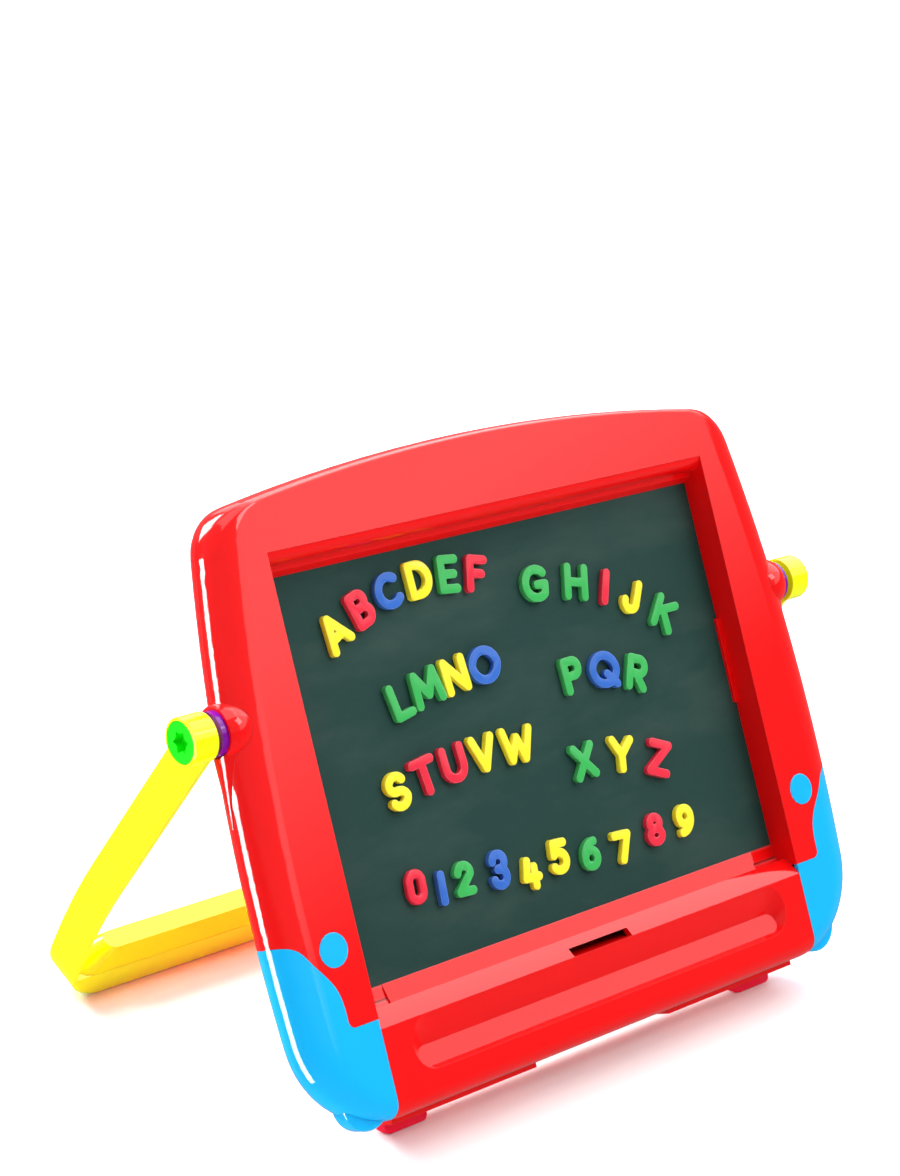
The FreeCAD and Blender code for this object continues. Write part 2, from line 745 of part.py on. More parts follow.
def handle():
    """The handle that is also the stand: two arms and a deep hollow bar between them."""
    outside = size("strap_inner_face") + size("strap_thickness")
    half = size("strap_width") / 2
    trims = both_sides(bar_corners())
    bar = box(-outside, outside, -size("bar_depth"), 0, -half, half).cut(trims)
    rims = [e for e in bar.Edges if e.CenterOfMass.y > -size("bar_depth") / 2
            and abs(abs(e.CenterOfMass.z) - half) < 1e-6]
    bar = bar.makeFillet(size("bar_round"), rims).cut(channel())
    bar.Placement = bar_place
    arms = []
    cuts = []
    for trim in trims:
        trim.Placement = bar_place.multiply(trim.Placement)
    for piece in (arm(), hub()):
        arms += both_sides(piece)
    for piece in hub_cuts():
        cuts += both_sides(piece)
    arms = [a.cut(trims) for a in arms]
    return arms[0].fuse(arms[1:] + [bar]).cut(cuts).removeSplitter()


def handle_grip():
    """The loaf-shaped grip on the inner side of the bar, with a tongue in the bar's channel."""
    half = size("strap_width") / 2 - 0.3
    depth = size("bar_depth")
    length = size("strap_inner_face") - size("grip_gap")
    base = stadium(length, half, Placement(Vector(0, -depth, 0), Rotation()))
    summit = Vector(0, -depth - size("grip_height"), -size("grip_top_drop"))
    top = stadium(length - size("grip_end_slope"), size("grip_top_radius"),
                  Placement(summit, Rotation()))
    loaf = Part.makeLoft([base, top], True, True)
    plug = box(-length, length, -depth, -depth + size("bar_wall"), -half, half)
    grip = loaf.fuse(channel().common(plug)).removeSplitter()
    grip.Placement = bar_place
    return grip


# ------------------------------------------------------------------ letters and digits
def via(u, v):
    """A point that a stroke's arc passes through on its way to the next point."""
    return (u, v, "via")


RING = [(0, .5), via(.5, 1), (1, .5), via(.5, 0), (0, .5)]
BOWL = [(0, .48), (.5, .48), via(1, .74), (.5, 1), (0, 1), (0, 0)]

# Each sign: width over height of its centre lines, then its strokes, u across and v up.
SIGNS = {
    "a": (.85, [[(0, 0), (.5, 1), (1, 0)], [(.2, .33), (.8, .33)]]),
    "b": (.62, [[(.5, .53), via(.92, .77), (.5, 1), (0, 1), (0, 0), (.5, 0), via(1, .265), (.5, .53),
                 (0, .53)]]),
    "c": (.85, [[(.93, .84), via(0, .5), (.93, .16)]]),
    "d": (.78, [[(0, 0), (0, 1), (.35, 1), via(1, .5), (.35, 0), (0, 0)]]),
    "e": (.6, [[(1, 1), (0, 1), (0, 0), (1, 0)], [(0, .5), (.85, .5)]]),
    "f": (.6, [[(1, 1), (0, 1), (0, 0)], [(0, .52), (.82, .52)]]),
    "g": (.92, [[(.92, .85), via(0, .5), (.9, .15), (.95, .46), (.58, .46)]]),
    "h": (.78, [[(0, 0), (0, 1)], [(1, 0), (1, 1)], [(0, .5), (1, .5)]]),
    "i": (0, [[(0, 0), (0, 1)]]),
    "j": (.52, [[(1, 1), (1, .29), via(.5, 0), (0, .29)]]),
    "k": (.74, [[(0, 0), (0, 1)], [(1, 1), (0, .42)], [(.32, .6), (1, 0)]]),
    "l": (.6, [[(0, 1), (0, 0), (1, 0)]]),
    "m": (1.05, [[(0, 0), (.1, 1), (.5, .25), (.9, 1), (1, 0)]]),
    "n": (.8, [[(0, 0), (0, 1), (1, 0), (1, 1)]]),
    "o": (1.12, [RING]),
    "p": (.62, [BOWL]),
    "q": (1.12, [RING, [(.6, .34), (1, 0)]]),
    "r": (.66, [BOWL, [(.42, .48), (1, 0)]]),
    "s": (.68, [[(.96, .82), via(.45, 1), (.06, .76), via(.2, .57), (.5, .5), via(.82, .42),
                 (.96, .24), via(.5, 0), (.04, .18)]]),
    "t": (.82, [[(0, 1), (1, 1)], [(.5, 1), (.5, 0)]]),
    "u": (.78, [[(0, 1), (0, .39), via(.5, 0), (1, .39), (1, 1)]]),
    "v": (.85, [[(0, 1), (.5, 0), (1, 1)]]),
    "w": (1.2, [[(0, 1), (.25, 0), (.5, .75), (.75, 0), (1, 1)]]),
    "x": (.8, [[(0, 0), (1, 1)], [(0, 1), (1, 0)]]),
    "y": (.85, [[(0, 1), (.5, .48), (1, 1)], [(.5, .48), (.5, 0)]]),
    "z": (.78, [[(0, 1), (1, 1), (0, 0), (1, 0)]]),
    "0": (.62, [[(0, .32), (0, .68), via(.5, 1), (1, .68), (1, .32), via(.5, 0), (0, .32)]]),
    "1": (0, [[(0, 0), (0, 1)]]),
    "2": (.64, [[(.02, .74), via(.52, 1), (.97, .66), (0, 0), (1, 0)]]),
    "3": (.62, [[(.02, .86), via(.96, .78), (.38, .53), via(1, .25), (0, .13)]]),
    "4": (.66, [[(.22, 1), (0, .34), (1, .34)], [(.7, .74), (.7, 0)]]),
    "5": (.64, [[(.95, 1), (.12, 1), (.06, .55), via(1, .34), (0, .08)]]),
    "6": (.64, [[(.86, .97), via(.22, .76), (0, .32), via(.5, .64), (1, .32), via(.5, 0), (0, .32)]]),
    "7": (.7, [[(0, 1), (1, 1), (.42, 0)]]),
    "8": (.64, [[(.08, .77), via(.5, 1), (.92, .77), via(.5, .53), (.08, .77)],
                [(0, .27), via(.5, .53), (1, .27), via(.5, 0), (0, .27)]]),
    "9": (.64, [[(.14, .03), via(.78, .24), (1, .68), via(.5, .36), (0, .68), via(.5, 1), (1, .68)]]),
}

# Rows of magnets on the board: the signs, the first and last centre as shares of the board's
# width from its middle and of its height from its foot, and how far the row rises between them.
ROWS = [
    ("abcdef", (-.37, .84), (-.045, .895), .045),
    ("ghijk", (.08, .835), (.365, .675), .035),
    ("lmno", (-.27, .64), (-.075, .67), .006),
    ("pqr", (.115, .585), (.265, .545), .012),
    ("stuvw", (-.32, .43), (-.045, .455), .014),
    ("xyz", (.095, .365), (.27, .315), .014),
    ("0123456789", (-.328, .196), (.296, .138), 0),
]

# How far some digits have been pushed along their row and up from it.
NUDGES = {"1": (-2, -4.5), "2": (-5, -2), "3": (-3, -2), "4": (-4, -9), "5": (-6, -2.5),
          "6": (-6, -6), "7": (-5, -7), "8": (-1, -1)}


def sign_height(sign):
    return size("digit_height") if sign.isdigit() else size("letter_height")


def sign_width(sign):
    """The width of a sign over its strokes."""
    core = sign_height(sign) - size("stroke_width")
    return SIGNS[sign][0] * core + size("stroke_width")


def stroke_solids(points, thickness):
    """The solids of one stroke: a bar or a ring's piece between its points, and round joints."""
    half = size("stroke_width") / 2
    solids = []
    here = points[0]
    bend = None
    for point in points[1:]:
        if len(point) == 3:
            bend = xz(point[0], point[1])
            continue
        a, b = xz(here[0], here[1]), xz(point[0], point[1])
        if bend is None:
            side = (b - a).cross(back).normalize() * half
            face = Part.Face(Part.makePolygon([a + side, b + side, b - side, a - side, a + side]))
        else:
            centre = arc(a, bend, b).Curve.Center

            def moved(p, by):
                return p + (p - centre).normalize() * by

            outer = arc(moved(a, half), moved(bend, half), moved(b, half))
            inner = arc(moved(b, -half), moved(bend, -half), moved(a, -half))
            face = Part.Face(Part.Wire([outer, line(moved(b, half), moved(b, -half)), inner,
                                        line(moved(a, -half), moved(a, half))]))
        solids.append(face.extrude(back * thickness))
        here = point
        bend = None
    for point in points:
        if len(point) == 2:
            solids.append(rod(half, point[0], point[1], 0, thickness))
    return solids


def sign_solid(sign):
    """A letter or digit standing in XZ about its own middle, its back at Y = thickness."""
    thickness = size("letter_thickness")
    core = sign_height(sign) - size("stroke_width")
    ratio, strokes = SIGNS[sign]

    def scaled(point):
        return ((point[0] - .5) * ratio * core, (point[1] - .5) * core) + tuple(point[2:])

    solids = []
    for stroke in strokes:
        solids += stroke_solids([scaled(p) for p in stroke], thickness)
    body = solids[0].fuse(solids[1:]).removeSplitter() if len(solids) > 1 else solids[0]
    first = scaled(strokes[0][0])
    slug = rod(size("slug_radius"), first[0], first[1], thickness - size("slug_thickness"), thickness)
    return Part.Compound([body.cut(slug), slug])


board_height = size("window_top") - size("ceiling_drop") - ledge_top


def row_places(row):
    """The centre and the turn of each magnet of a row, along an arc, spaced by their widths."""
    signs, first, last, rise = row
    start = Vector(first[0] * 2 * window_x, 0, ledge_top + first[1] * board_height)
    end = Vector(last[0] * 2 * window_x, 0, ledge_top + last[1] * board_height)
    widths = [sign_width(s) for s in signs]
    steps = [(a + b) / 2 for a, b in zip(widths, widths[1:])]
    spare = ((end - start).Length - sum(steps)) / len(steps)
    travel = 0.0
    places = []
    length = (end - start).Length
    along = (end - start).normalize()
    normal = Vector(-along.z, 0, along.x)
    for index, sign in enumerate(signs):
        share = travel / length
        lift = 4 * rise * board_height * share * (1 - share)
        slope = 4 * rise * board_height * (1 - 2 * share) / length
        push_along, push_up = NUDGES.get(sign, (0, 0))
        centre = start + along * (travel + push_along) + normal * (lift + push_up)
        turn = math.atan2(along.z, along.x) + math.atan(slope)
        places.append((sign, centre, math.degrees(turn)))
        if index < len(steps):
            travel += steps[index] + spare
    return places


def magnets():
    """All letters and digits, each as its own node, lying on the board."""
    depth = board_y - size("letter_gap") - size("letter_thickness")
    for row in ROWS:
        for sign, centre, turn in row_places(row):
            solid = sign_solid(sign)
            solid.Placement = Placement(centre + back * depth, Rotation(Vector(0, -1, 0), turn))
            kind = "digit_" if sign.isdigit() else "letter_"
            feature(kind + sign, solid)


# ------------------------------------------------------------------ pieces made with PartDesign
def sheet_panel(label, y_formula, thickness_formula):
    """A flat sheet behind the recess, with a margin outside the window all round."""
    body = doc.addObject("PartDesign::Body", label)
    sketch = new_sketch(body, "XZ_Plane", label + "Outline", 0, y_formula)
    reach = "(Sizes.window_half_width + Sizes.board_margin)"
    low = "Sizes.ledge_start + Sizes.ledge_rise - Sizes.board_margin"
    high = "Sizes.window_top - Sizes.ceiling_drop + Sizes.board_margin"
    sketch_rectangle(sketch, "-" + reach, reach, low, high)
    pad(body, sketch, thickness_formula, True)
    return register(body, label)


def washer(label, side):
    """A purple friction washer between a boss and a hub."""
    body = doc.addObject("PartDesign::Body", label)
    reach = "Sizes.boss_face" if side > 0 else "-Sizes.boss_face - Sizes.washer_thickness"
    sketch = new_sketch(body, "YZ_Plane", label + "Outline", 0, reach)
    sketch_circle(sketch, "Sizes.shell_depth / 2", "Sizes.pivot_level", "Sizes.washer_radius", "rim")
    sketch_circle(sketch, "Sizes.shell_depth / 2", "Sizes.pivot_level", "Sizes.shaft_radius", "bore")
    pad(body, sketch, "Sizes.washer_thickness")
    return register(body, label)


def pivot_screw(label, side):
    """A green plastic screw: a wide cap with a six-pointed star socket, and a smooth shaft."""
    body = doc.addObject("PartDesign::Body", label)
    cap_face = "Sizes.hub_end - Sizes.body_gap"
    shoulder = "Sizes.hub_end - Sizes.cap_height"
    length = "(Sizes.cap_height - Sizes.body_gap)"
    start = shoulder if side > 0 else "-(" + cap_face + ")"
    disc = new_sketch(body, "YZ_Plane", label + "Cap", 0, start)
    sketch_circle(disc, "Sizes.shell_depth / 2", "Sizes.pivot_level", "Sizes.cap_radius", "cap")
    pad(body, disc, length)
    inner = "(Sizes.window_half_width + Sizes.shaft_inset)"
    stem = new_sketch(body, "YZ_Plane", label + "Shaft", 0,
                      inner if side > 0 else "-(" + shoulder + ")")
    sketch_circle(stem, "Sizes.shell_depth / 2", "Sizes.pivot_level", "Sizes.shaft_radius", "shaft")
    pad(body, stem, shoulder + " - " + inner)
    doc.recompute()
    sign = "" if side > 0 else "-1 * "
    star = new_sketch(body, "YZ_Plane", label + "Star", 0, sign + "(" + cap_face + ")")
    points = []
    for corner in range(12):
        radius = size("star_outer") if corner % 2 == 0 else size("star_inner")
        turn = math.radians(30 * corner + 12)
        points.append(Vector(half_depth + radius * math.cos(turn),
                             pivot_z + radius * math.sin(turn), 0))
    for a, b in zip(points, points[1:] + points[:1]):
        star.addGeometry(Part.LineSegment(a, b))
    for here in range(12):
        star.addConstraint(Sketcher.Constraint("Coincident", here, 2, (here + 1) % 12, 1))
    before = body.Shape.Volume
    pocket = body.newObject("PartDesign::Pocket", label + "Socket")
    pocket.Profile = star
    pocket.setExpression("Length", "Sizes.star_depth")
    pocket.Reversed = side < 0
    body.Tip = pocket
    doc.recompute()
    if body.Shape.Volume > before - 100:
        raise RuntimeError(label + ": the socket cuts nothing")
    return register(body, label)


# ------------------------------------------------------------------ pieces made from primitives
def bound(kind, name, **formulas):
    """A Part primitive whose sizes are formulas on the sheet."""
    obj = doc.addObject(kind, name)
    for prop, formula in formulas.items():
        obj.setExpression(prop, formula)
    return obj


def corner_plug(label, side):
    """A blue plug that hides a screw: a disc with a rounded rim that stands a little proud."""
    disc = bound("Part::Cylinder", label + "Disc", Radius="Sizes.plug_radius",
                 Height="Sizes.plug_depth + Sizes.plug_proud")
    disc.Placement = Placement(Vector(side * size("plug_across"), size("plug_depth"),
                                      size("plug_level")), Rotation(Vector(1, 0, 0), 90))
    doc.recompute()
    plug = doc.addObject("Part::Fillet", label)
    plug.Base = disc
    rim = [n for n, e in enumerate(disc.Shape.Edges, start=1)
           if len(e.Vertexes) == 1 and e.CenterOfMass.y < 0]
    plug.Edges = [(n, 0.5, 0.5) for n in rim]
    return register(plug, label)


def gathered(label, pieces):
    """Several separate solids that share one node."""
    group = doc.addObject("Part::Compound", label)
    group.Links = pieces
    return register(group, label)


def pivot_nuts():
    """The two hexagon nuts inside the case that hold the pivot screws."""
    nuts = []
    for side in (1, -1):
        hexagon = bound("Part::Prism", "NutBody%d" % (side + 1), Circumradius="Sizes.nut_across / 1.732",
                        Height="Sizes.nut_thickness")
        bore = bound("Part::Cylinder", "NutBore%d" % (side + 1), Radius="Sizes.shaft_radius",
                     Height="Sizes.nut_thickness + 2")
        hexagon.Polygon = 6
        seat_x = window_x + size("boss_inset")
        x = seat_x - size("nut_thickness") if side > 0 else -seat_x
        turn = Rotation(Vector(0, 1, 0), 90)
        hexagon.Placement = Placement(Vector(x, half_depth, pivot_z), turn)
        bore.Placement = Placement(Vector(x - 1, half_depth, pivot_z), turn)
        nut = doc.addObject("Part::Cut", "Nut%d" % (side + 1))
        nut.Base = hexagon
        nut.Tool = bore
        nuts.append(nut)
    return gathered("pivot_nuts", nuts)


def one_screw(x, z, head_y):
    """A pan-head screw driven from behind, its head's seat at head_y."""
    radius = size("screw_head_radius")
    head = rod(radius, x, z, head_y, head_y + 2.4)
    rim = [e for e in head.Edges if len(e.Vertexes) == 1 and e.CenterOfMass.y > head_y + 1]
    head = head.makeFillet(1.0, rim)
    shank = rod(size("screw_shank_radius"), x, z, head_y - size("screw_length"), head_y)
    blade = [box(x - 2.2, x + 2.2, head_y + 1.2, head_y + 3, z - .45, z + .45),
             box(x - .45, x + .45, head_y + 1.2, head_y + 3, z - 2.2, z + 2.2)]
    return head.fuse(shank).cut(blade)


def case_screws():
    """All the screws of the case and of the rear cover, alike."""
    screws = []
    for x, z in case_screw_places():
        screws += [one_screw(side * x, z, size("case_screw_seat")) for side in (1, -1)]
    for x, z in cover_screw_places():
        screws += [one_screw(side * x, z, cover_seat) for side in (1, -1)]
    return Part.Compound(screws)


# ------------------------------------------------------------------ the assembly
feature("front_frame", front_frame())
feature("rear_frame", rear_frame())
feature("rear_cover", rear_cover())
sheet_panel("chalkboard_panel", "-(Sizes.board_depth)", "Sizes.board_thickness")
sheet_panel("backing_board", "-(Sizes.board_depth + Sizes.board_thickness)", "Sizes.backing_thickness")
for word, side in (("left", -1), ("right", 1)):
    shaft = bar_rod(size("shaft_radius"), window_x, 300)
    bored = boss(1).cut(shaft)
    feature("pivot_boss_" + word, bored if side > 0 else mirrored(bored))
    washer("friction_washer_" + word, side)
    pivot_screw("pivot_screw_" + word, side)
    feature("corner_boot_" + word, corner_boot(side))
    corner_plug("corner_plug_" + word, side)
    feature("corner_foot_" + word, corner_foot(side))
    feature("rubber_foot_" + word, foot_solid(side))
feature("board_clips", Part.Compound(both_sides(clip_box())))
pivot_nuts()
feature("case_screws", case_screws())
feature("handle", handle())
feature("handle_grip", handle_grip())
magnets()
doc.recompute()

for obj in doc.Objects:
    if "Invalid" in obj.State or "Error" in obj.State:
        raise RuntimeError("failed: %s %s" % (obj.Name, obj.State))

# Lean the whole assembly back, and set the origin on the floor under its middle.
leaning = Rotation(Vector(1, 0, 0), -math.degrees(lean))
everything = FreeCAD.BoundBox()
for node in NODES:
    turned = node.Shape.copy()
    turned.Placement = Placement(Vector(), leaning).multiply(turned.Placement)
    everything.add(turned.optimalBoundingBox(False, False))
stand = Placement(Vector(-everything.Center.x, -everything.Center.y, -everything.ZMin), leaning)
for node in NODES:
    node.Placement = stand.multiply(node.Placement)
doc.recompute()

os.makedirs("parts", exist_ok=True)
for node in NODES:
    shape = node.Shape
    if shape.isNull() or not shape.isValid() or not shape.Solids:
        raise RuntimeError("bad shape: " + node.Label)
    shape.exportStep("parts/%s.step" % node.Label)

print("nodes", len(NODES), "lean", round(math.degrees(lean), 3))
print("pivot", stand.multVec(pivot), "sole", stand.multVec(sole_front), "heel", stand.multVec(heel))
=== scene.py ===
"""The look of a child's tabletop magnetic chalkboard easel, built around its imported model.

Lengths are in metres and colours are shares of full strength as a screen shows them.
"""

import math

import bmesh
import bpy
from mathutils import Matrix, Vector


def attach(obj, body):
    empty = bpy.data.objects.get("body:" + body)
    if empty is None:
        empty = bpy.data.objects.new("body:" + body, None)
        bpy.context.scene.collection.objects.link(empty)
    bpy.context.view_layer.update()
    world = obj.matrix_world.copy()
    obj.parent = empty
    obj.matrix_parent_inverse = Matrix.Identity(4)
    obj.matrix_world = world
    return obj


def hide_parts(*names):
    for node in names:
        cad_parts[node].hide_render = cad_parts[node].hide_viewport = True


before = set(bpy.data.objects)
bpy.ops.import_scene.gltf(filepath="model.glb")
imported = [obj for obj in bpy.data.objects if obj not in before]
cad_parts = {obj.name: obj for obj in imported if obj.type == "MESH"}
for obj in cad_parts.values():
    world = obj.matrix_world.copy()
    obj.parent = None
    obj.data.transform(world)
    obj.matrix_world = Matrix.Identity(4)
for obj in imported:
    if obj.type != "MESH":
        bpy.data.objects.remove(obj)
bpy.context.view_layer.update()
scene = bpy.context.scene
MM = 0.001
LEAN = math.radians(30.122)

# ------------------------------------------------------------------ colours
RED = (0.93, 0.02, 0.03)
BLUE = (0.04, 0.70, 0.96)
YELLOW = (0.93, 0.99, 0.0)
LEAF_GREEN = (0.02, 0.93, 0.02)
PURPLE = (0.47, 0.02, 0.60)
CRIMSON = (1.0, 0.0, 0.23)
SLATE_GREEN = (0.10, 0.235, 0.215)
CHALK = (0.86, 0.88, 0.84)
LETTER_YELLOW = (1.0, 0.93, 0.20)
LETTER_RED = (0.90, 0.19, 0.27)
LETTER_BLUE = (0.22, 0.42, 0.77)
LETTER_GREEN = (0.24, 0.70, 0.35)
HARDBOARD = (0.50, 0.33, 0.20)
ZINC = (0.72, 0.73, 0.75)
FERRITE = (0.10, 0.10, 0.11)
FLOOR_WHITE = (0.96, 0.96, 0.96)


def linear(colour):
    """A screen colour as the light it stands for, by the sRGB curve, with full alpha."""
    shares = [c / 12.92 if c <= 0.04045 else ((c + 0.055) / 1.055) ** 2.4 for c in colour]
    return (*shares, 1.0)


# ------------------------------------------------------------------ shader maths
# The numbers of a Mix node's colour sockets, whose names it also gives to its other kinds.
MIX_SHARE, MIX_FIRST, MIX_SECOND, MIX_RESULT = 0, 6, 7, 2


class Signal:
    """A shader socket that adds a Math node for each operator used on it."""

    def __init__(self, nodes, socket):
        self.nodes = nodes
        self.socket = socket

    def math(self, operation, *values):
        return self.nodes.node("ShaderNodeMath", {"operation": operation}, values)

    def __add__(self, other):
        return self.math("ADD", self, other)

    def __radd__(self, other):
        return self.math("ADD", other, self)

    def __sub__(self, other):
        return self.math("SUBTRACT", self, other)

    def __rsub__(self, other):
        return self.math("SUBTRACT", other, self)

    def __mul__(self, other):
        return self.math("MULTIPLY", self, other)

    def __rmul__(self, other):
        return self.math("MULTIPLY", other, self)

    def clamped(self):
        return self.math("MINIMUM", self.math("MAXIMUM", self, 0.0), 1.0)


class Nodes:
    """One node tree and the nodes that the finishes have in common."""

    def __init__(self, tree):
        self.tree = tree
        self.tree.nodes.clear()

    def node(self, kind, settings=(), sockets=(), output=0):
        """A node of one type, with its settings made first.

        Each socket's value or link is given by the socket's name or number, or in order.
        """
        made = self.tree.nodes.new(kind)
        for key, value in dict(settings).items():
            setattr(made, key, value)
        pairs = sockets.items() if isinstance(sockets, dict) else enumerate(sockets)
        for key, value in pairs:
            if isinstance(value, Signal):
                self.tree.links.new(value.socket, made.inputs[key])
            else:
                made.inputs[key].default_value = value
        return Signal(self, made.outputs[output]) if made.outputs else made

    def band(self, value, low, high):
        """0 below low and 1 above high, with a straight ramp between."""
        return ((value - low) * (1.0 / (high - low))).clamped()

    def dot(self, first, second):
        return self.node("ShaderNodeVectorMath", {"operation": "DOT_PRODUCT"}, (first, second),
                         output="Value")


class Finish(Nodes):
    """One material, whose patterns are fixed to the object's own coordinates."""

    def __init__(self, name):
        self.material = bpy.data.materials.new(name)
        self.material.use_nodes = True
        super().__init__(self.material.node_tree)
        self.place = self.node("ShaderNodeTexCoord", output="Object")

    def noise(self, scale, detail=2.0, roughness=0.5, place=None):
        sockets = {"Vector": place or self.place, "Scale": scale, "Detail": detail,
                   "Roughness": roughness}
        return self.node("ShaderNodeTexNoise", {}, sockets)

    def stretched(self, scale, turn=(0.0, 0.0, 0.0)):
        """Object coordinates turned and scaled a different amount on each axis."""
        return self.node("ShaderNodeMapping", {}, {"Vector": self.place, "Rotation": turn,
                                                   "Scale": scale})

    def blend(self, share, first, second):
        """Two colours mixed by a share from 0 to 1."""
        sockets = {MIX_SHARE: share, MIX_FIRST: first, MIX_SECOND: second}
        return self.node("ShaderNodeMix", {"data_type": "RGBA"}, sockets, MIX_RESULT)

    def bump(self, height, strength, distance, normal=None):
        sockets = {"Height": height, "Strength": strength, "Distance": distance}
        if normal:
            sockets["Normal"] = normal
        return self.node("ShaderNodeBump", {}, sockets)

    def soft_edge(self, radius):
        """The surface's normal with its sharp edges rounded off."""
        return self.node("ShaderNodeBevel", {"samples": 4}, {"Radius": radius})

    def edge_share(self, rounded):
        """How far the rounded normal leans from the real one: 0 on flats, towards 1 on edges."""
        full_lean = 0.25
        plain = self.node("ShaderNodeNewGeometry", output="Normal")
        return self.band(1.0 - self.dot(rounded, plain), 0.0, full_lean)

    def surface(self, **sockets):
        """The Principled shader that ends the tree; underscores stand for spaces."""
        named = {key.replace("_", " "): value for key, value in sockets.items()}
        shader = self.node("ShaderNodeBsdfPrincipled", {}, named)
        self.node("ShaderNodeOutputMaterial", {}, {"Surface": shader})
        return self.material


# ------------------------------------------------------------------ finishes
def darker(colour, share):
    """A colour with that share of each part of it left."""
    return [c * share for c in colour]


def paler(colour, share):
    """A colour moved that share of the way to white."""
    return [c + (1.0 - c) * share for c in colour]


def moulded_plastic(name, colour, roughness=0.34, edge=0.7 * MM, coat=0.8, rim=0.45):
    """Glossy moulded plastic: faint flow marks, orange peel, hairline scratches, and edges painted
    paler as a painted highlight.

    edge is the radius that sharp edges seem rounded to, and rim how strong the painted highlight
    on the edges is.
    """
    finish = Finish(name)
    flow = finish.noise(9.0, 3.0, 0.6)
    mottled = finish.band(flow, 0.35, 0.7)
    base = finish.blend(mottled * 0.10, linear(colour), linear(darker(colour, 0.86)))
    rounded = finish.soft_edge(edge)
    edge_highlight = finish.edge_share(rounded)
    # painted highlight: the edges are mixed towards a paler colour, as if light caught them
    base = finish.blend(edge_highlight * rim, base, linear(paler(colour, 0.35)))
    scratch = finish.noise(1.0, 2.0, 0.5, finish.stretched((2200.0, 90.0, 140.0), (0.4, 0.2, 0.9)))
    hairline = finish.band(scratch, 0.66, 0.72)
    peel = finish.noise(420.0, 2.0, 0.5)
    height = peel + hairline * -0.4
    normal = finish.bump(height, 0.10, 0.05 * MM, rounded)
    rough = roughness + (flow - 0.5) * 0.10 + hairline * 0.12
    return finish.surface(Base_Color=base, Roughness=rough, Normal=normal,
                          Coat_Weight=coat, Coat_Roughness=0.05, Specular_IOR_Level=0.03)


def letter_plastic(name, colour):
    """The letters' plastic: duller than the case's, with softer edges and a stronger painted
    highlight on the rims.
    """
    return moulded_plastic(name, colour, roughness=0.42, edge=1.1 * MM, coat=0.4, rim=1.0)


def chalkboard_paint(name):
    """Matt slate-green paint with fine grit, wiped chalk haze and stray specks of dust."""
    finish = Finish(name)
    grit = finish.noise(2400.0, 2.0, 0.6)
    speck = finish.band(grit, 0.66, 0.74)
    haze = finish.noise(1.0, 4.0, 0.6, finish.stretched((7.0, 12.0, 22.0), (0.0, 0.5, 0.0)))
    wiped = finish.band(haze, 0.45, 0.8)
    base = finish.blend(wiped * 0.03, linear(SLATE_GREEN), linear(CHALK))
    base = finish.blend(speck * 0.08, base, linear(CHALK))
    normal = finish.bump(grit, 0.25, 0.06 * MM)
    rough = 0.62 + speck * 0.2 - wiped * 0.06
    return finish.surface(Base_Color=base, Roughness=rough, Normal=normal,
                          Specular_IOR_Level=0.18)


def fibre_board(name):
    """Pressed hardboard: matted brown fibres."""
    finish = Finish(name)
    fibre = finish.noise(1.0, 5.0, 0.7, finish.stretched((260.0, 260.0, 900.0), (0.0, 0.7, 0.0)))
    matted = finish.band(fibre, 0.3, 0.7)
    base = finish.blend(matted, linear(darker(HARDBOARD, 0.7)), linear(HARDBOARD))
    normal = finish.bump(fibre, 0.4, 0.2 * MM)
    return finish.surface(Base_Color=base, Roughness=0.85 - matted * 0.1, Normal=normal)


def soft_rubber(name, colour):
    """Matt rubber with a fine pebble and a little dust rubbed in."""
    finish = Finish(name)
    pebble = finish.noise(1300.0, 2.0, 0.5)
    dust = finish.band(finish.noise(45.0, 4.0, 0.6), 0.5, 0.8)
    rounded = finish.soft_edge(0.9 * MM)
    base = finish.blend(dust * 0.03, linear(colour), linear(CHALK))
    normal = finish.bump(pebble, 0.3, 0.08 * MM, rounded)
    return finish.surface(Base_Color=base, Roughness=0.42 + dust * 0.15, Normal=normal,
                          Specular_IOR_Level=0.15)


def zinc_steel(name, colour, roughness=0.32):
    """Zinc-plated steel with turning marks and faint stains."""
    finish = Finish(name)
    turned = finish.noise(1.0, 3.0, 0.6, finish.stretched((1800.0, 300.0, 1800.0)))
    stain = finish.band(finish.noise(120.0, 3.0, 0.6), 0.45, 0.8)
    base = finish.blend(stain * 0.25, linear(colour), linear(darker(colour, 0.6)))
    rounded = finish.soft_edge(0.25 * MM)
    normal = finish.bump(turned, 0.15, 0.03 * MM, rounded)
    return finish.surface(Base_Color=base, Metallic=1.0, Roughness=roughness + turned * 0.12,
                          Normal=normal)


def pale_floor(name):
    """A plain pale floor with the faintest mottle."""
    finish = Finish(name)
    mottle = finish.noise(3.0, 2.0, 0.5)
    base = finish.blend(mottle * 0.04, linear(FLOOR_WHITE), linear((0.92, 0.93, 0.94)))
    return finish.surface(Base_Color=base, Roughness=0.8 + mottle * 0.1, Specular_IOR_Level=0.1)


FINISHES = {
    "red_plastic": moulded_plastic("glossy red", RED),
    "blue_plastic": moulded_plastic("glossy blue", BLUE),
    "yellow_plastic": moulded_plastic("glossy yellow", YELLOW),
    "green_plastic": moulded_plastic("glossy green", LEAF_GREEN, edge=0.4 * MM),
    "purple_plastic": moulded_plastic("glossy purple", PURPLE, edge=0.4 * MM),
    "crimson_rubber": soft_rubber("crimson rubber", CRIMSON),
    "chalkboard": chalkboard_paint("chalkboard paint"),
    "hardboard": fibre_board("hardboard"),
    "steel": zinc_steel("zinc steel", ZINC),
    "letter_yellow": letter_plastic("letter yellow", LETTER_YELLOW),
    "letter_red": letter_plastic("letter red", LETTER_RED),
    "letter_blue": letter_plastic("letter blue", LETTER_BLUE),
    "letter_green": letter_plastic("letter green", LETTER_GREEN),
}
magnet_finish = zinc_steel("ferrite magnet", FERRITE, 0.55)

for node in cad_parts.values():
    for held in node.material_slots:
        held.material = FINISHES[held.material.name]


